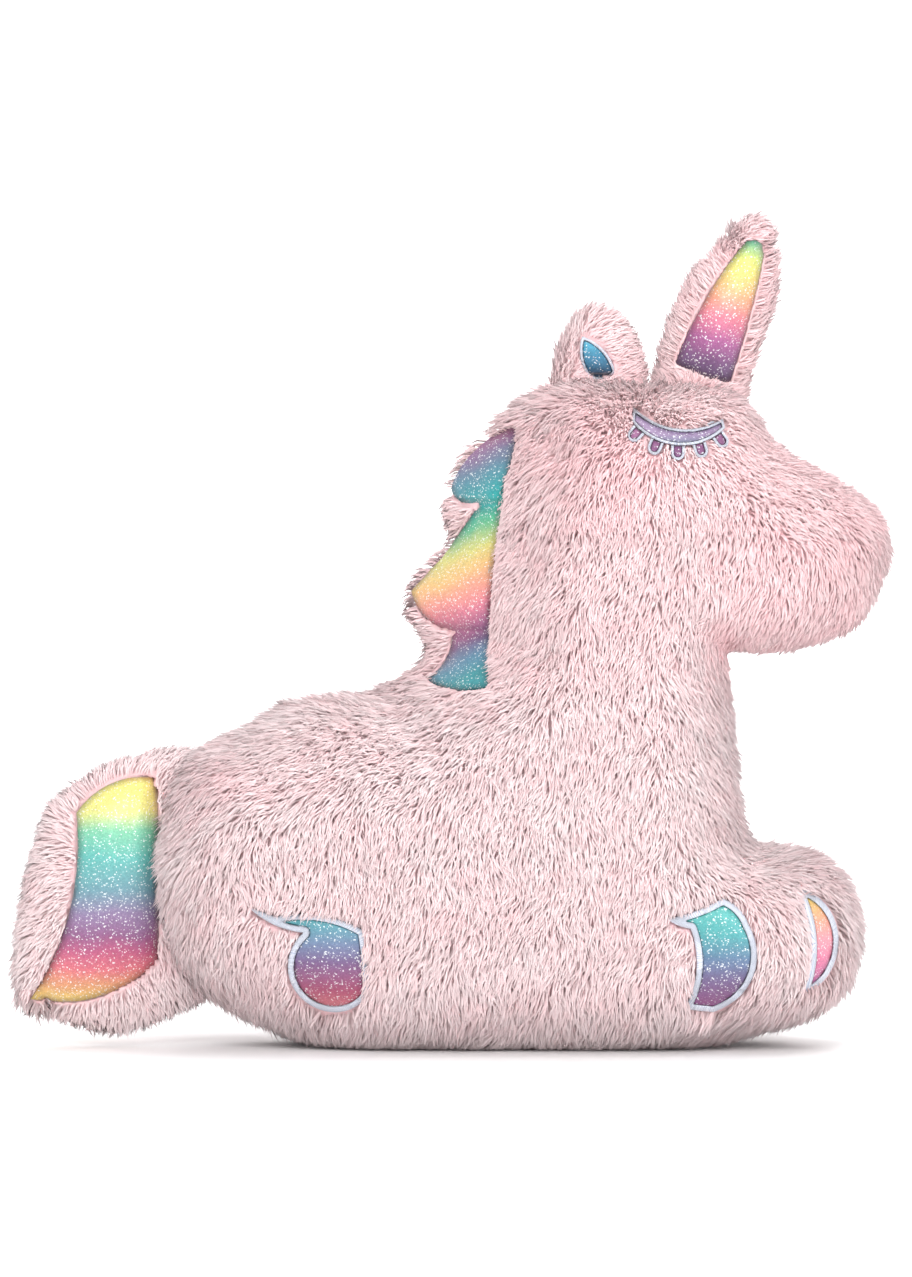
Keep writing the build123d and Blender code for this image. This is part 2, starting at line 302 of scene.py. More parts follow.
def brushed_fur():
    """Brushed polyester pile: a soft matt fibre, deeper pink at its root and pale at its tip."""
    colours = bpy.context.scene.plush_colours
    material, tree, shader = new_material("brushed_polyester_pile")
    strand = add(tree, "ShaderNodeUVMap", uv_map="strand")
    axes = add(tree, "ShaderNodeSeparateXYZ", links=[("Vector", strand.outputs["UV"])])
    along = [(0.0, colours.fur_root), (0.45, colours.fur_middle), (1.0, colours.fur_tip)]
    body = ramp(tree, axes.outputs["Y"], along)
    blush = [(0.0, colours.blush_root), (0.45, colours.blush_middle), (1.0, colours.blush_tip)]
    pink = ramp(tree, axes.outputs["Y"], blush)
    mix = add(tree, "ShaderNodeMix", data_type="RGBA", links=[(0, axes.outputs["X"])])
    tree.links.new(body.outputs["Color"], mix.inputs[6])
    tree.links.new(pink.outputs["Color"], mix.inputs[7])
    tree.links.new(mix.outputs[2], shader.inputs["Base Color"])
    set_sockets(shader, [("Roughness", 0.85), ("IOR", 1.45), ("Specular IOR Level", 0.2),
                         ("Sheen Weight", 0.1), ("Sheen Roughness", 0.6), ("Subsurface Weight", 0.1),
                         ("Subsurface Scale", 5 * MM), ("Subsurface Radius", (1.0, 0.8, 0.8))])
    shader.subsurface_method = "BURLEY"
    return material


def knitted_backing():
    """Knitted polyester backing, seen only deep between the locks: matt, with 1.2 mm loops."""
    colours = bpy.context.scene.plush_colours
    material, tree, shader = new_material("knitted_polyester_backing")
    place = add(tree, "ShaderNodeTexCoord")
    loops = add(tree, "ShaderNodeTexVoronoi", links=[("Vector", place.outputs["Object"])],
                values=[("Scale", 1 / (1.2 * MM))])
    tone = ramp(tree, loops.outputs["Distance"], [(0.0, colours.backing), (1.0, colours.fur_root)])
    tree.links.new(tone.outputs["Color"], shader.inputs["Base Color"])
    set_sockets(shader, [("Roughness", 0.95), ("Specular IOR Level", 0.1)])
    return material


FLAKE = 0.6 * MM       # real flakes are 0.2 mm, too fine to show


def glitter_satin(name, stops, start, end, painted_shade_reach):
    """Printed polyester satin with glitter: rainbow bands from start to end, strewn with pale flakes whose
    colour carries a painted glint, and darkened by painted shade near its seam.
    """
    material, tree, shader = new_material(name)
    place = add(tree, "ShaderNodeTexCoord").outputs["Object"]
    run = Vector(end) - Vector(start)
    shifted = add(tree, "ShaderNodeVectorMath", operation="SUBTRACT", links=[(0, place)],
                  values=[(1, Vector(start))])
    along = add(tree, "ShaderNodeVectorMath", operation="DOT_PRODUCT", links=[(0, shifted.outputs[0])],
                values=[(1, run / run.length_squared)])
    drift = add(tree, "ShaderNodeTexNoise", links=[("Vector", place)], values=[("Scale", 1 / (14 * MM))])
    uneven = add(tree, "ShaderNodeMath", operation="MULTIPLY_ADD",
                 links=[(0, drift.outputs["Fac"]), (2, along.outputs["Value"])], values=[(1, 0.05)])
    bands = ramp(tree, uneven.outputs[0], [(place_, hex_colour(text)) for place_, text in stops])
    flakes = add(tree, "ShaderNodeTexVoronoi", links=[("Vector", place)], values=[("Scale", 1 / FLAKE)])
    shade = add(tree, "ShaderNodeSeparateColor", links=[("Color", flakes.outputs["Color"])])
    bright = ramp(tree, shade.outputs["Red"],
                  [(0.0, (0, 0, 0, 1)), (0.90, (0, 0, 0, 1)), (0.97, (0.8, 0.8, 0.8, 1))])
    dim = ramp(tree, shade.outputs["Green"], [(0.0, (0.72, 0.72, 0.74, 1)), (1.0, (1.06, 1.06, 1.06, 1))])
    print_ = add(tree, "ShaderNodeMix", data_type="RGBA", blend_type="MULTIPLY", values=[(0, 0.8)])
    tree.links.new(bands.outputs["Color"], print_.inputs[6])
    tree.links.new(dim.outputs["Color"], print_.inputs[7])
    # Flakes are painted near-white: partly the flakes' own pale silver, partly a painted glint that shines
    # whatever the light.
    flakes_and_glint = add(tree, "ShaderNodeMix", data_type="RGBA", links=[(0, bright.outputs["Color"])])
    tree.links.new(print_.outputs[2], flakes_and_glint.inputs[6])
    flakes_and_glint.inputs[7].default_value = hex_colour("F6FAFA")
    # Painted shade: the satin's colour is darkened, to half at the seam, over the last few millimetres in
    # from it, where the satin dips into its seam.
    seam = add(tree, "ShaderNodeUVMap", uv_map="seam")
    inward = add(tree, "ShaderNodeSeparateXYZ", links=[("Vector", seam.outputs["UV"])])
    near = add(tree, "ShaderNodeMapRange", links=[("Value", inward.outputs["Y"])],
               values=[("From Max", painted_shade_reach), ("To Min", 0.5), ("To Max", 1.0)])
    shaded = add(tree, "ShaderNodeMix", data_type="RGBA", blend_type="MULTIPLY", values=[(0, 1.0)])
    tree.links.new(flakes_and_glint.outputs[2], shaded.inputs[6])
    tree.links.new(near.outputs["Result"], shaded.inputs[7])
    tree.links.new(shaded.outputs[2], shader.inputs["Base Color"])
    gloss = ramp(tree, shade.outputs["Blue"], [(0.0, (0.28, 0.28, 0.28, 1)), (1.0, (0.6, 0.6, 0.6, 1))])
    tree.links.new(gloss.outputs["Color"], shader.inputs["Roughness"])
    grain = add(tree, "ShaderNodeBump", links=[("Height", shade.outputs["Red"])],
                values=[("Strength", 0.5), ("Distance", 0.15 * MM)])
    tree.links.new(grain.outputs["Normal"], shader.inputs["Normal"])
    set_sockets(shader, [("Metallic", 0.15), ("IOR", 1.5), ("Specular IOR Level", 0.6),
                         ("Sheen Weight", 0.2)])
    return material


def satin_stitch():
    """Satin stitch: tight rows of glossy rayon thread, 0.8 mm apart, laid across the band, with painted
    shade in the grooves between the rows.
    """
    colours = bpy.context.scene.plush_colours
    material, tree, shader = new_material("rayon_satin_stitch")
    seam = add(tree, "ShaderNodeUVMap", uv_map="seam")
    rows = add(tree, "ShaderNodeTexWave", links=[("Vector", seam.outputs["UV"])],
               values=[("Scale", 20 / (0.8 * math.tau) * 0.31), ("Distortion", 0.4)])
    # Painted shade: the thread turns darker grey-blue where the rows dip, in the grooves between threads.
    tone = ramp(tree, rows.outputs["Fac"], [(0.0, hex_colour("A9B4CC")), (0.5, colours.stitch)])
    tree.links.new(tone.outputs["Color"], shader.inputs["Base Color"])
    raised = add(tree, "ShaderNodeBump", links=[("Height", rows.outputs["Fac"])],
                 values=[("Strength", 0.6), ("Distance", 0.2 * MM)])
    tree.links.new(raised.outputs["Normal"], shader.inputs["Normal"])
    set_sockets(shader, [("Roughness", 0.38), ("IOR", 1.5), ("Sheen Weight", 0.3)])
    return material


def twisted_thread():
    """Sewing thread: spun polyester, matt, with fibres 0.3 mm apart."""
    material, tree, shader = new_material("spun_polyester_thread")
    place = add(tree, "ShaderNodeTexCoord").outputs["Object"]
    twist = add(tree, "ShaderNodeTexNoise", links=[("Vector", place)], values=[("Scale", 1 / (0.3 * MM))])
    tone = ramp(tree, twist.outputs["Fac"], [(0.3, hex_colour("D9A5AE")), (0.7, hex_colour("F3CDD2"))])
    tree.links.new(tone.outputs["Color"], shader.inputs["Base Color"])
    set_sockets(shader, [("Roughness", 0.7)])
    return material


def made(name, maker):
    """A material made once and shared."""
    if name not in bpy.data.materials:
        maker()
    return bpy.data.materials[name]


# Stuffed skins ------------------------------------------------------------------------------

def stuffed_skin(node, name, voxel):
    """Backing fabric blown up by its filling, from a slightly smaller copy of the filling."""
    stuffing = bpy.context.scene.plush_stuffing
    skin = copy_of_node(node, name)
    slack = stuffing.slack
    remesh(skin, voxel)
    apply_modifier(skin, "DISPLACE", strength=stuffing.backing - slack, mid_level=0)
    inflate(skin)
    fill_out(skin, tree_of_nodes([node]), stuffing.backing)
    apply_modifier(skin, "SUBSURF", levels=1, render_levels=1)
    return skin


def fill_out(skin, filling, reach):
    """Pushes a skin out wherever it has drawn in closer than reach to its filling."""
    points = get_points(skin.data)
    for index, point in enumerate(points):
        place, facing, _, _ = filling.find_nearest(Vector(point))
        lack = reach - (Vector(point) - place).dot(facing)
        if lack > 0:
            points[index] += np.array(facing * min(lack, 3 * reach))
    set_points(skin.data, points)


def inflate(skin):
    """Cloth simulation with pressure and no gravity; no point moves further than the cap."""
    stuffing = bpy.context.scene.plush_stuffing
    scene = bpy.context.scene
    before = get_points(skin.data)
    cloth = skin.modifiers.new("Cloth", "CLOTH")
    cloth.settings.use_pressure = True
    cloth.settings.uniform_pressure_force = stuffing.pressure
    cloth.settings.effector_weights.gravity = 0
    cloth.collision_settings.use_collision = False
    cloth.point_cache.frame_start = 1
    cloth.point_cache.frame_end = stuffing.steps
    for step in range(1, stuffing.steps + 1):
        scene.frame_set(step)
    evaluated = skin.evaluated_get(bpy.context.evaluated_depsgraph_get())
    after = get_points(evaluated.to_mesh())
    evaluated.to_mesh_clear()
    skin.modifiers.remove(cloth)
    scene.frame_set(1)
    move = after - before
    far = np.maximum(np.linalg.norm(move, axis=1, keepdims=True), 1e-9)
    set_points(skin.data, before + move * np.minimum(1, stuffing.swell / far))


def tuck_under(skin, nodes, depth):
    """Draws a skin in wherever a satin piece lies on it, so that the satin is on top."""
    tree = tree_of_nodes(nodes)
    points = get_points(skin.data)
    for index, (x, y, z) in enumerate(points):
        side = 1 if y > 0 else -1
        hit = tree.ray_cast(Vector((x, side * OUTSIDE, z)), Vector((0, -side, 0)), OUTSIDE)
        if hit[0] is not None:
            points[index, 1] = side * max(0, min(abs(y), abs(hit[0].y) - depth))
    set_points(skin.data, points)


# Pile ---------------------------------------------------------------------------------------

def scatter(skin, spacing, random):
    """Random points spread evenly over a skin, with their smooth normals."""
    mesh = skin.data
    mesh.calc_loop_triangles()
    corners = np.empty(len(mesh.loop_triangles) * 3, dtype=np.int32)
    mesh.loop_triangles.foreach_get("vertices", corners)
    corners = corners.reshape(-1, 3)
    points, normals = get_points(mesh), get_normals(mesh)
    a, b, c = (points[corners[:, i]] for i in range(3))
    area = np.linalg.norm(np.cross(b - a, c - a), axis=1) / 2
    count = int(area.sum() / spacing ** 2)
    places = (np.arange(count) + random.random(count)) / count * area.sum()
    chosen = np.minimum(np.searchsorted(np.cumsum(area), places), len(area) - 1)
    u, v = random.random((2, count, 1))
    over = (u + v) > 1
    u, v = np.where(over, 1 - u, u), np.where(over, 1 - v, v)
    weights = (1 - u - v, u, v)
    roots = sum(w * points[corners[chosen, i]] for i, w in enumerate(weights))
    facing = sum(w * normals[corners[chosen, i]] for i, w in enumerate(weights))
    return roots, unit(facing)


def combed(directions, normals):
    """Combing directions laid flat on the skin."""
    flat = directions - np.sum(directions * normals, axis=1, keepdims=True) * normals
    return unit(flat)


def turned(flow, normals, angles):
    """Flow turned about the normals by an angle each."""
    c, s = np.cos(angles)[:, None], np.sin(angles)[:, None]
    return flow * c + np.cross(normals, flow) * s


def gathered(roots, tips, clump, amount, random):
    """Draws the tips in towards those of a few leading locks, so that they lie in tufts."""
    count = max(1, int(len(roots) * (bpy.context.scene.plush_pile.spacing / clump) ** 2))
    leaders = random.choice(len(roots), count, replace=False)
    tree = kdtree.KDTree(count)
    for place, leader in enumerate(leaders):
        tree.insert(Vector(roots[leader]), place)
    tree.balance()
    nearest = np.array([leaders[tree.find(Vector(root))[1]] for root in roots])
    share = amount * (0.4 + 0.6 * random.random((len(roots), 1)))
    pull = (tips[nearest] - tips) * share
    reach = np.linalg.norm(pull, axis=1, keepdims=True)
    limit = 0.45 * np.linalg.norm(tips - roots, axis=1, keepdims=True)
    return pull * np.minimum(1, limit / np.maximum(reach, 1e-9)), nearest


def pinkness_and_crease_shade_of(points):
    """How pink the pile is: most round the eyes and on the muzzle, least on the back and belly, with
    painted shade as a thin band of deeper pink along the haunch crease.
    """
    x, y, z = points.T
    blush = 0.22 + 0.26 * np.clip((z - 0.17) / 0.05, 0, 1)
    blush += 0.25 * np.clip((x - 0.12) / 0.05, 0, 1) * (z > 0.18)
    # The spot low on the haunch, at x -0.10 and z 0.135, is painted shade: a thin band of deeper pink along
    # the haunch crease.
    for middle_x, middle_z, wide, tall, more in ((0.075, 0.300, 34, 20, 0.45), (0.135, 0.205, 14, 14, 0.35),
                                                 (-0.10, 0.135, 40, 9, 0.3), (0.03, 0.19, 40, 12, 0.12)):
        blush += more * np.exp(-((x - middle_x) / (wide * MM)) ** 2 - ((z - middle_z) / (tall * MM)) ** 2)
    return blush - 0.3 * np.clip((0.03 - z) / 0.03, 0, 1)


def grow_pile(skin, comb, lengths, satin, seed):
    """Root, bend and tip of each lock of fibres on a skin, its facing, and how pink it is. Locks are
    trimmed where they would lie across a satin piece."""
    pile = bpy.context.scene.plush_pile
    random = np.random.default_rng(seed)
    tree = tree_of_nodes(satin)
    roots, normals = scatter(skin, pile.spacing, random)
    free = ~over_satin(roots, satin, tree, 5 * MM, 0.8 * MM) | (np.abs(normals[:, 1]) < 0.5)
    roots, normals = roots[free], normals[free]
    flow = combed(comb(roots, normals), normals)
    turn = 0.45 * wander(roots, 30 * MM, seed) + 0.35 * wander(roots, 9 * MM, seed + 3)
    flow = turned(flow, normals, turn + random.normal(0, 0.32, len(roots)))
    close = 1 - distances(roots, tree, 11 * MM) / (11 * MM)
    close = np.where(combed_over(roots), 0, close * np.clip(1.6 * np.abs(normals[:, 1]) - 0.4, 0, 1))
    length = (lengths(roots, normals) * (1 - 0.4 * close) * random.uniform(0.75, 1.12, len(roots)))[:, None]
    lean = pile.lean + 0.18 * wander(roots, 14 * MM, seed + 7)[:, None]
    lean = lean + random.normal(0, 0.17, (len(roots), 1))
    droop = lean + pile.droop - pile.lean
    bends = roots + 0.52 * length * (normals * np.cos(lean) + flow * np.sin(lean))
    tips = bends + 0.5 * length * (normals * np.cos(droop) + flow * np.sin(droop))
    pull, nearest = gathered(roots, tips, pile.clump, pile.gather, random)
    tips = tips + pull
    bends = bends + 0.35 * pull
    pink = pinkness_and_crease_shade_of(roots) + 0.14 * wander(roots, 34 * MM, seed + 11)
    pink = pink + 0.10 * wander(roots, 9 * MM, seed + 5)
    pink = pink + random.normal(0, 0.07, len(roots)) + 0.07 * random.standard_normal(len(roots))[nearest]
    overlap = random.uniform(0.3, 0.8, (len(roots), 1))
    for trim in range(7):
        far = bends + overlap * (tips - bends)
        across = over_satin(bends, satin, tree, 0) | over_satin(far, satin, tree, 0)
        share = np.where(across, 0.7, 1.0)[:, None]
        bends = roots + share * (bends - roots)
        tips = roots + share * (tips - roots)
    kept = ~across
    locks = (roots - normals * 0.6 * MM, bends, tips, normals, pink)
    return [part[kept] for part in locks], random


def lock_mesh(name, locks, random):
    """Closed three-sided locks that taper to a point. They are worked out together, because a pile
    of this many fibres can't be modelled one by one; each has only ten faces."""
    pile = bpy.context.scene.plush_pile
    roots, bends, tips, normals, pink = locks
    count = len(roots)
    along = unit(tips - roots)
    across = unit(np.cross(along, unit(random.standard_normal((count, 3)))))
    other = np.cross(along, across)
    points, facing = np.empty((count, 7, 3)), np.empty((count, 7, 3))
    width = pile.width / 2 * random.uniform(0.75, 1.15, (count, 1))
    for corner in range(3):
        angle = corner * math.tau / 3
        spoke = across * math.cos(angle) + other * math.sin(angle)
        points[:, corner] = roots + spoke * width
        points[:, 3 + corner] = bends + spoke * width * 0.85
        soft = unit(pile.softness * normals + (1 - pile.softness) * spoke)
        facing[:, corner] = facing[:, 3 + corner] = soft
    points[:, 6] = tips
    facing[:, 6] = normals
    points[:, :, 2] = np.maximum(points[:, :, 2], 0.4 * MM)
    shape = [(0, 2, 1), (0, 1, 4), (0, 4, 3), (1, 2, 5), (1, 5, 4), (2, 0, 3), (2, 3, 5),
             (3, 4, 6), (4, 5, 6), (5, 3, 6)]
    corners = (np.arange(count)[:, None, None] * 7 + np.array(shape)[None]).reshape(-1)
    mesh = bpy.data.meshes.new(name)
    mesh.vertices.add(count * 7)
    mesh.vertices.foreach_set("co", points.reshape(-1))
    mesh.loops.add(len(corners))
    mesh.loops.foreach_set("vertex_index", corners.astype(np.int32))
    mesh.polygons.add(len(corners) // 3)
    mesh.polygons.foreach_set("loop_start", np.arange(0, len(corners), 3, dtype=np.int32))
    mesh.update(calc_edges=True)
    u = np.clip(pink, 0.03, 0.97)[:, None] + np.array([-0.006, 0.0, 0.006, -0.006, 0.0, 0.006, 0.0])
    v = np.broadcast_to(np.array([0.02, 0.02, 0.02, 0.5, 0.5, 0.5, 0.98]), u.shape)
    places = np.stack([u, v], axis=2).reshape(-1, 2)[corners]
    for layer in ("strand", "OFBake"):
        mesh.uv_layers.new(name=layer).data.foreach_set("uv", places.reshape(-1))
    mesh.polygons.foreach_set("use_smooth", np.ones(len(mesh.polygons), dtype=bool))
    mesh.normals_split_custom_set_from_vertices(facing.reshape(-1, 3).tolist())
    piece = bpy.data.objects.new(name, mesh)
    bpy.context.scene.collection.objects.link(piece)
    mesh.materials.append(made("brushed_polyester_pile", brushed_fur))
    return piece


# Satin pieces -------------------------------------------------------------------------------

def seam_measures(piece):
    """Search tree of a panel's cut edge, and that edge's points in order round its middle."""
    walls = [p for p in piece.data.polygons if abs(p.normal.y) < 0.25]
    points = [tuple(v.co) for v in piece.data.vertices]
    tree = BVHTree.FromPolygons(points, [tuple(p.vertices) for p in walls])
    edge = np.array([points[i] for p in walls for i in p.vertices])
    return tree, edge[:, [0, 2]]


def seam_run(points, edge):
    """Distance along the seam for each point, by its direction from the panel's middle."""
    middle = edge.mean(axis=0)
    angle = np.arctan2(*(edge - middle).T)
    order = np.argsort(angle)
    angle, path = angle[order], edge[order]
    steps = np.concatenate([[0], np.cumsum(np.linalg.norm(np.diff(path, axis=0), axis=1))])
    steps *= math.tau * np.linalg.norm(path - middle, axis=1).mean() / max(steps[-1], 1e-9)
    return np.interp(np.arctan2(*(points[:, [0, 2]] - middle).T), angle, steps)


def keep_measures(piece, run, inward):
    """Keeps the run along the seam and the distance in from it, in millimetres, as a map."""
    corners = np.empty(len(piece.data.loops), dtype=np.int32)
    piece.data.loops.foreach_get("vertex_index", corners)
    places = np.stack([run / MM, inward / MM], axis=1)[corners]
    piece.data.uv_layers.new(name="seam").data.foreach_set("uv", places.reshape(-1))


def satin_panel(node, name, voxel, puff, pucker, pitch, valleys=()):
    """Satin over the filling: it swells between its seams and puckers where it is gathered in."""
    panel = copy_of_node(node, name)
    side = SIDES[node.rsplit("_", 1)[1]]
    seam, edge = seam_measures(panel)
    remesh(panel, voxel)
    apply_modifier(panel, "SMOOTH", factor=0.5, iterations=3)
    points = get_points(panel.data)
    inward = distances(points, seam, 60 * MM)
    run = seam_run(points, edge)
    rise = puff * (1 - np.exp(-inward / (7 * MM)))
    folds = 0.5 + 0.5 * np.sin(run / pitch * math.tau + 1.5 * wander(points, 12 * MM, 2))
    rise -= pucker * np.exp(-inward / (5 * MM)) * folds
    for x, z, reach in valleys:
        near = np.exp(-((points[:, 2] - z * MM) / (2.8 * MM)) ** 2)
        rise -= 6 * MM * near * np.clip(1.2 - (points[:, 0] - x * MM) / (reach * MM), 0, 1)
    points[:, 1] += side * (rise + bpy.context.scene.plush_stuffing.backing)
    set_points(panel.data, points)
    apply_modifier(panel, "SMOOTH", factor=0.5, iterations=2)
    keep_measures(panel, run, inward)
    return panel


def stitched_edge(node, name, voxel, height, width):
    """Satin stitch round a patch: a rounded band, with its run and its breadth kept as its own map."""
    band = copy_of_node(node, name)
    side = SIDES[node.rsplit("_", 1)[1]]
    seam, edge = seam_measures(band)
    remesh(band, voxel)
    points = get_points(band.data)
    inward = np.minimum(distances(points, seam, width), width / 2)
    run = seam_run(points, edge)
    points[:, 1] += side * height * np.sqrt(np.clip(1 - (1 - 2 * inward / width) ** 2, 0, 1))
    points[:, 1] += side * bpy.context.scene.plush_stuffing.backing
    set_points(band.data, points)
    apply_modifier(band, "SMOOTH", factor=0.4, iterations=1)
    keep_measures(band, run, inward)
    return band


# Operators ----------------------------------------------------------------------------------

def body_areas(points):
    """Which named area of the body each point is in."""
    x, y, z = points.T
    area = np.where(x > 0.118, "chest", np.where(z > 0.165, "neck", "flank"))
    area = np.where(z > 0.262, "head", area)
    area = np.where((area == "flank") & (x < -0.045), "rump", area)
    area = np.where((area == "chest") & (z > 0.18), "muzzle", area)
    return np.char.add(np.char.add(area, "_"), np.where(y < 0, "right", "left"))


def body_comb(roots, normals):
    """Down the sides and towards the tail, outwards on the mane's edge, and off the middle on top."""
    x, y, z = roots.T
    comb = np.tile([-0.15, 0.0, -1.0], (len(roots), 1))
    top = np.clip(normals[:, 2], 0, 1)[:, None]
    ahead = np.clip((x - 0.09) / 0.04, -1, 1)
    comb = comb + top * np.stack([1.1 * ahead, (0.4 + 0.8 * (1 - ahead ** 2)) * np.sign(y), 0 * x], axis=1)
    mane = np.clip((0.03 - x) / 0.03, 0, 1) * (z > 0.19)
    return comb + mane[:, None] * np.array([-1.8, 0.0, 0.5])


def body_lengths(roots, normals):
    """Long on the body, shorter on the muzzle and round the eyes."""
    pile = bpy.context.scene.plush_pile
    x, y, z = roots.T
    short = np.maximum(np.clip((x - 0.10) / 0.06, 0, 1), np.clip((0.03 - x) / 0.02, 0, 1))
    short = short * np.clip((z - 0.18) / 0.02, 0, 1)
    return pile.length + (pile.short_length - pile.length) * short


TORSO_SATIN = [n + "_" + s for s in SIDES for n in (
    "mane_insert", "hind_hoof_patch", "hind_hoof_edging", "fore_hoof_patch", "fore_hoof_edging",
    "lead_hoof_patch", "lead_hoof_edging", "eyelid_patch", "eyelid_edging", "lash_patches", "lash_edging")]


class PLUSH_OT_body(bpy.types.Operator):
    """Sew and stuff the body, neck and head in one skin, and brush out its pile"""
    bl_idname = "plush.body"
    bl_label = "Body"

    def execute(self, context):
        stuffing = context.scene.plush_stuffing
        skin = stuffed_skin("body_stuffing", "body_skin", stuffing.voxel)
        tuck_under(skin, TORSO_SATIN, TUCK)
        points = get_points(skin.data)
        points[:, 2] = np.maximum(points[:, 2], 2.5 * MM)
        set_points(skin.data, points)
        finish_mesh(skin, made("knitted_polyester_backing", knitted_backing))
        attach(skin, "torso")
        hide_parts("body_stuffing", "body_fur_right", "body_fur_left")
        seed = context.scene.plush_pile.seed
        locks, random = grow_pile(skin, body_comb, body_lengths, TORSO_SATIN, seed)
        areas = body_areas(locks[0])
        for area in sorted(set(areas)):
            pile = lock_mesh("pile_" + area, [part[areas == area] for part in locks], random)
            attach(pile, "torso")
        return {"FINISHED"}


def outward_comb(axis, middle, forward):
    """Combing away from a line through middle, and forward along it."""
    axis, middle = np.array(axis), np.array(middle)

    def comb(roots, normals):
        away = roots - middle
        away = away - (away @ axis)[:, None] * axis
        away[:, 1] *= 0.3
        return unit(away) + forward * axis
    return comb


def run_into(skin, seam, axis, depth, reach):
    """Draws a skin's root down into the torso, the most at the seam and none beyond reach."""
    axis = np.array(axis)
    points = get_points(skin.data)
    height = (points - np.array(seam)) @ axis
    points -= (depth * np.clip(1 - height / reach, 0, 1.2))[:, None] * axis
    set_points(skin.data, points)


def sewn_on(context, name, comb, length, seam, axis, start, end, satin):
    """Tail, horn or ear: its stuffed skin and its pile, with its root drawn into the torso where it is sewn
    on.
    """
    stuffing = context.scene.plush_stuffing
    skin = stuffed_skin(name + "_stuffing", name + "_skin", stuffing.small_voxel)
    run_into(skin, seam, axis, 24 * MM, 40 * MM)
    tuck_under(skin, satin, TUCK)
    finish_mesh(skin, made("knitted_polyester_backing", knitted_backing))
    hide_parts(name + "_stuffing", name + "_fur_right", name + "_fur_left")
    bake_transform(skin)
    seed = context.scene.plush_pile.seed + len(name)

    def lengths(roots, normals):
        return np.full(len(roots), length)

    locks, random = grow_pile(skin, comb, lengths, satin, seed)
    pile = lock_mesh("pile_" + name, locks, random)
    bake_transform(pile)


TAIL_BEND = ((-0.142, 0, 0.08), (-0.186, 0, 0.08))
HORN_AXIS = Vector((math.sin(math.radians(14.7)), 0, math.cos(math.radians(14.7))))
HORN_SEAM = (0.128, 0, 0.346)
HORN_BEND = (Vector(HORN_SEAM) - 8 * MM * HORN_AXIS, Vector(HORN_SEAM) + 26 * MM * HORN_AXIS)
EAR_BEND = ((0.071, 0, 0.338), (0.071, 0, 0.366))


class PLUSH_OT_tail(bpy.types.Operator):
    """Sew, stuff and brush the tail"""
    bl_idname = "plush.tail"
    bl_label = "Tail"

    def execute(self, context):
        outward = outward_comb((0, 1, 0), (-0.172, 0, 0.09), 0)

        def comb(roots, normals):
            return outward(roots, normals) + (0, 0, -0.35)

        satin = ["tail_insert_right", "tail_insert_left"]
        sewn_on(context, "tail", comb, 11 * MM, (-0.16, 0, 0.08), (-1, 0, 0), *TAIL_BEND, satin)
        return {"FINISHED"}


class PLUSH_OT_horn(bpy.types.Operator):
    """Sew, stuff and brush the horn"""
    bl_idname = "plush.horn"
    bl_label = "Horn"

    def execute(self, context):
        comb = outward_comb(tuple(HORN_AXIS), HORN_SEAM, 0.5)
        satin = ["horn_insert_right", "horn_insert_left"]
        sewn_on(context, "horn", comb, 11 * MM, HORN_SEAM, tuple(HORN_AXIS), *HORN_BEND, satin)
        return {"FINISHED"}


class PLUSH_OT_ear(bpy.types.Operator):
    """Sew, stuff and brush the ear"""
    bl_idname = "plush.ear"
    bl_label = "Ear"

    def execute(self, context):
        comb = outward_comb((0, 0, 1), (0.051, 0, 0.35), 0.5)
        satin = [n + s for s in SIDES for n in ("inner_ear_patch_", "inner_ear_edging_")]
        sewn_on(context, "ear", comb, 11 * MM, (0.071, 0, 0.346), (0, 0, 1), *EAR_BEND, satin)
        return {"FINISHED"}


# Rainbow bands, each (share of the way down, sRGB hex)
MANE_BANDS = [(0.13, "B4507F"), (0.17, "A0577F"), (0.23, "86688F"), (0.29, "5A8CA0"), (0.38, "20A7A5"),
              (0.45, "5DBB8E"), (0.51, "DCD77E"), (0.57, "F2C07F"), (0.63, "EE9C8C"), (0.69, "DC7F92"),
              (0.76, "A5628C"), (0.80, "7D5F87"), (0.85, "5F8FAA"), (0.90, "3F9AA0")]
TAIL_BANDS = [(0.0, "EF9A5C"), (0.05, "ECDF7A"), (0.17, "E3DE85"), (0.26, "7FC9A4"), (0.38, "62B8B0"),
              (0.52, "6D9BA8"), (0.63, "8F7AA0"), (0.72, "8F5A86"), (0.79, "B8577D"), (0.87, "D8707C"),
              (0.96, "DCA26C"), (1.0, "E8C46E")]
HORN_BANDS = [(0.0, "5FB89A"), (0.12, "CFDC7A"), (0.25, "ECD67A"), (0.4, "F0A981"), (0.55, "E0808F"),
              (0.72, "A85C92"), (0.86, "7A5581"), (1.0, "4F4A66")]
EAR_BANDS = [(0.0, "4FB0CC"), (0.55, "3F86A8"), (1.0, "2B4460")]
HIND_BANDS = [(0.0, "4FA9AE"), (0.3, "6F82A3"), (0.5, "7A5F8B"), (0.68, "94567F"), (0.84, "A94A6C"),
              (1.0, "CF6F7A")]
FORE_BANDS = [(0.0, "5CB9B0"), (0.3, "4FA6A8"), (0.55, "5F7C9C"), (0.8, "7A5F8B"), (1.0, "8F4A80")]
LEAD_BANDS = [(0.0, "E8D96A"), (0.25, "FDB08A"), (0.5, "F79AA8"), (0.72, "E2789D"), (1.0, "B05590")]
LID_BANDS = [(0.0, "7D7F98"), (0.25, "9C84A8"), (0.75, "9C84A8"), (1.0, "7D7F98")]
LASH_BANDS = [(0.0, "A0648F"), (1.0, "7E4F7A")]


def banded(name, bands, node, lean=0.0, painted_shade_reach=4.0):
    """Glitter satin whose bands run down a node's height, tilted by lean, with painted shade darkening it
    in the seam's hollow.
    """
    low, high = (Vector(corner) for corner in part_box(node))
    middle = (low + high) / 2
    tall = high.z - low.z
    start = (middle.x + lean * tall / 2, 0, high.z)
    end = (middle.x - lean * tall / 2, 0, low.z)
    return made(name, lambda: glitter_satin(name, bands, start, end, painted_shade_reach))


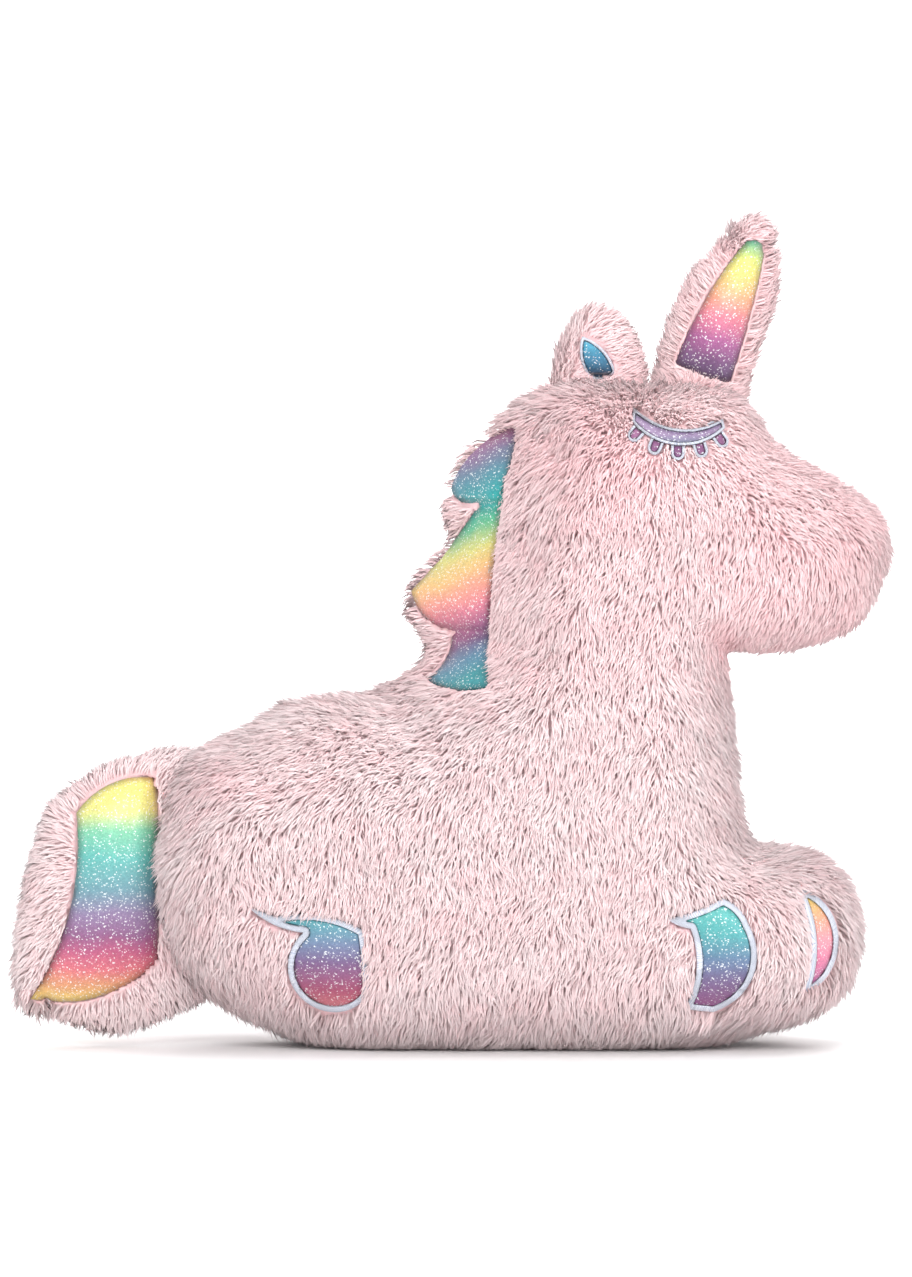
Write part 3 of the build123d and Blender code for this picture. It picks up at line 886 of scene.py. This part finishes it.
class PLUSH_OT_inserts(bpy.types.Operator):
    """Let the rainbow satin into the mane, the tail and the horn"""
    bl_idname = "plush.inserts"
    bl_label = "Rainbow inserts"

    def execute(self, context):
        valleys = [(12, 275, 24), (-1, 211, 26)]
        for side in SIDES:
            mane = satin_panel("mane_insert_" + side, "mane_panel_" + side, 1.0 * MM, 3.5 * MM, 1.5 * MM,
                               8 * MM, valleys)
            satin = banded("mane_glitter_satin", MANE_BANDS, "mane_insert_right", -0.45)
            self.sew(mane, "mane_insert_" + side, satin)
            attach(mane, "torso")
            tail = satin_panel("tail_insert_" + side, "tail_panel_" + side, 1.0 * MM, 3 * MM, 1.4 * MM,
                               9 * MM)
            satin = banded("tail_glitter_satin", TAIL_BANDS, "tail_insert_right")
            self.sew(tail, "tail_insert_" + side, satin)
            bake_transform(tail)
            horn = satin_panel("horn_insert_" + side, "horn_panel_" + side, 0.8 * MM, 1.5 * MM, 0.8 * MM,
                               7 * MM)
            satin = banded("horn_glitter_satin", HORN_BANDS, "horn_insert_right", 0.26)
            self.sew(horn, "horn_insert_" + side, satin)
            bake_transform(horn)
        return {"FINISHED"}

    def sew(self, panel, node, material):
        finish_mesh(panel, material)
        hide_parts(node)


class PLUSH_OT_patches(bpy.types.Operator):
    """Stitch on the patches of the hooves, eyelids, lashes and inner ears"""
    bl_idname = "plush.patches"
    bl_label = "Patches"

    def execute(self, context):
        rainbow, lilac = "rainbow_glitter_satin", "lilac_glitter_satin"
        pieces = [
            ("hind_hoof", "patch", 3.0, HIND_BANDS, rainbow, "torso"),
            ("fore_hoof", "patch", 3.0, FORE_BANDS, rainbow, "torso"),
            ("lead_hoof", "patch", 3.0, LEAD_BANDS, rainbow, "torso"),
            ("eyelid", "patch", 1.4, LID_BANDS, lilac, "torso"),
            ("lash", "patches", 1.4, LASH_BANDS, lilac, "torso"),
            ("inner_ear", "patch", 1.4, EAR_BANDS, rainbow, "ear"),
        ]
        for name, patch, width, bands, slot, body in pieces:
            for side in SIDES:
                node = name + "_" + patch + "_" + side
                # Painted shade darkens each patch's satin over 0.8 mm in from its seam.
                satin = banded(name + "_glitter_satin", bands, name + "_" + patch + "_right", painted_shade_reach=0.8)
                panel = satin_panel(node, name + "_satin_" + side, 0.6 * MM, 0.8 * MM, 0.3 * MM, 5 * MM)
                self.sew(panel, node, satin, slot, body)
                node = name + "_edging_" + side
                band = stitched_edge(node, name + "_stitching_" + side, 0.5 * MM, 0.7 * MM, width * MM)
                self.sew(band, node, made("rayon_satin_stitch", satin_stitch), "satin_stitch", body)
        return {"FINISHED"}

    def sew(self, piece, node, material, slot, body):
        finish_mesh(piece, material)
        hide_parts(node)
        if body == "ear":
            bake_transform(piece)
        else:
            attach(piece, body)


class PLUSH_OT_seam(bpy.types.Operator):
    """Finish the hand-sewn stitches under the belly"""
    bl_idname = "plush.seam"
    bl_label = "Closing seam"

    def execute(self, context):
        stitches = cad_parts["closing_stitches"]
        stitches.data.materials.clear()
        stitches.data.materials.append(made("spun_polyester_thread", twisted_thread))
        return {"FINISHED"}


# Stage --------------------------------------------------------------------------------------

class PLUSH_OT_stage(bpy.types.Operator):
    """Lay the floor, hang the lights and set the camera"""
    bl_idname = "plush.stage"
    bl_label = "Stage"

    def execute(self, context):
        self.floor()
        self.lights()
        self.camera()
        return {"FINISHED"}

    def floor(self):
        """Pale paper that lies flat under the toy and rises gently all round it."""
        bpy.ops.mesh.primitive_grid_add(x_subdivisions=64, y_subdivisions=64, size=16)
        floor = bpy.context.object
        floor.name = "floor"
        flat_radius, rise = 3.0, 0.08
        points = get_points(floor.data)
        away = np.clip(np.linalg.norm(points[:, :2], axis=1) - flat_radius, 0, None)
        points[:, 2] += away ** 2 * rise
        set_points(floor.data, points)
        bpy.ops.object.shade_smooth()
        material, _, shader = new_material("matt_backdrop_paper")
        set_sockets(shader, [("Base Color", bpy.context.scene.plush_colours.floor), ("Roughness", 0.95),
                             ("Specular IOR Level", 0.1)])
        floor.data.materials.append(material)

    def lights(self):
        world = bpy.data.worlds.new("studio")
        bpy.context.scene.world = world
        world.use_nodes = True
        background = world.node_tree.nodes["Background"]
        background.inputs["Color"].default_value = (1, 1, 1, 1)
        background.inputs["Strength"].default_value = 0.75
        toy, backdrop = (0, 0, 0.2), (0, 7.5, 0.6)
        lamps = [
            ("key", (-0.5, -2.6, 1.5), 1.3, 31, toy),
            ("fill", (1.2, -2.4, 0.8), 1.3, 24, toy),
            ("top", (0.3, 0.2, 2.2), 1.6, 16, toy),
            ("back", (0.6, 2.6, 1.5), 1.3, 40, toy),
            ("backdrop", (0.0, 3.4, 2.6), 2.0, 110, backdrop),
        ]
        for name, place, size, power, target in lamps:
            bpy.ops.object.light_add(type="AREA", location=place)
            lamp = bpy.context.object
            lamp.name = name
            lamp.data.shape = "DISK"
            lamp.data.size = size
            lamp.data.energy = power
            aim = Vector(target) - Vector(place)
            lamp.rotation_euler = aim.to_track_quat("-Z", "Y").to_euler()

    def camera(self):
        """Level with the toy's side, on a long lens."""
        distance, frame_height, elevation = 3.2, 0.651, math.radians(1.0)
        aim = Vector((0.001, 0, 0.2075))
        place = aim + distance * Vector((0, -math.cos(elevation), math.sin(elevation)))
        bpy.ops.object.camera_add(location=place)
        camera = bpy.context.object
        camera.name = "camera"
        camera.rotation_euler = (aim - place).to_track_quat("-Z", "Y").to_euler()
        camera.data.sensor_fit = "VERTICAL"
        camera.data.sensor_height = 36
        camera.data.lens = 36 * distance / frame_height
        bpy.context.scene.camera = camera
        bpy.context.scene.view_settings.view_transform = "Standard"


class PLUSH_PT_panel(bpy.types.Panel):
    """Lists the toy's pieces and settings"""
    bl_label = "Plush Unicorn"
    bl_idname = "PLUSH_PT_panel"
    bl_space_type = "VIEW_3D"
    bl_region_type = "UI"
    bl_category = "Plush"

    def draw(self, context):
        for group in SETTINGS:
            settings = getattr(context.scene, group)
            box = self.layout.box()
            for key in settings.bl_rna.properties.keys():
                if key not in ("rna_type", "name"):
                    box.prop(settings, key)
        for operator in OPERATORS:
            self.layout.operator(operator.bl_idname)


OPERATORS = (PLUSH_OT_stage, PLUSH_OT_body, PLUSH_OT_tail, PLUSH_OT_horn, PLUSH_OT_ear, PLUSH_OT_inserts,
             PLUSH_OT_patches, PLUSH_OT_seam)
SETTINGS = {"plush_pile": PlushPile, "plush_stuffing": PlushStuffing, "plush_colours": PlushColours}


def register():
    for key, group in SETTINGS.items():
        bpy.utils.register_class(group)
        setattr(bpy.types.Scene, key, PointerProperty(type=group))
    for operator in OPERATORS:
        bpy.utils.register_class(operator)
    bpy.utils.register_class(PLUSH_PT_panel)


def unregister():
    bpy.utils.unregister_class(PLUSH_PT_panel)
    for operator in reversed(OPERATORS):
        bpy.utils.unregister_class(operator)
    for key, group in SETTINGS.items():
        delattr(bpy.types.Scene, key)
        bpy.utils.unregister_class(group)


def main():
    register()
    bpy.ops.plush.stage()
    bpy.ops.plush.body()
    bpy.ops.plush.tail()
    bpy.ops.plush.horn()
    bpy.ops.plush.ear()
    bpy.ops.plush.inserts()
    bpy.ops.plush.patches()
    bpy.ops.plush.seam()


if __name__ == "__main__":
    main()
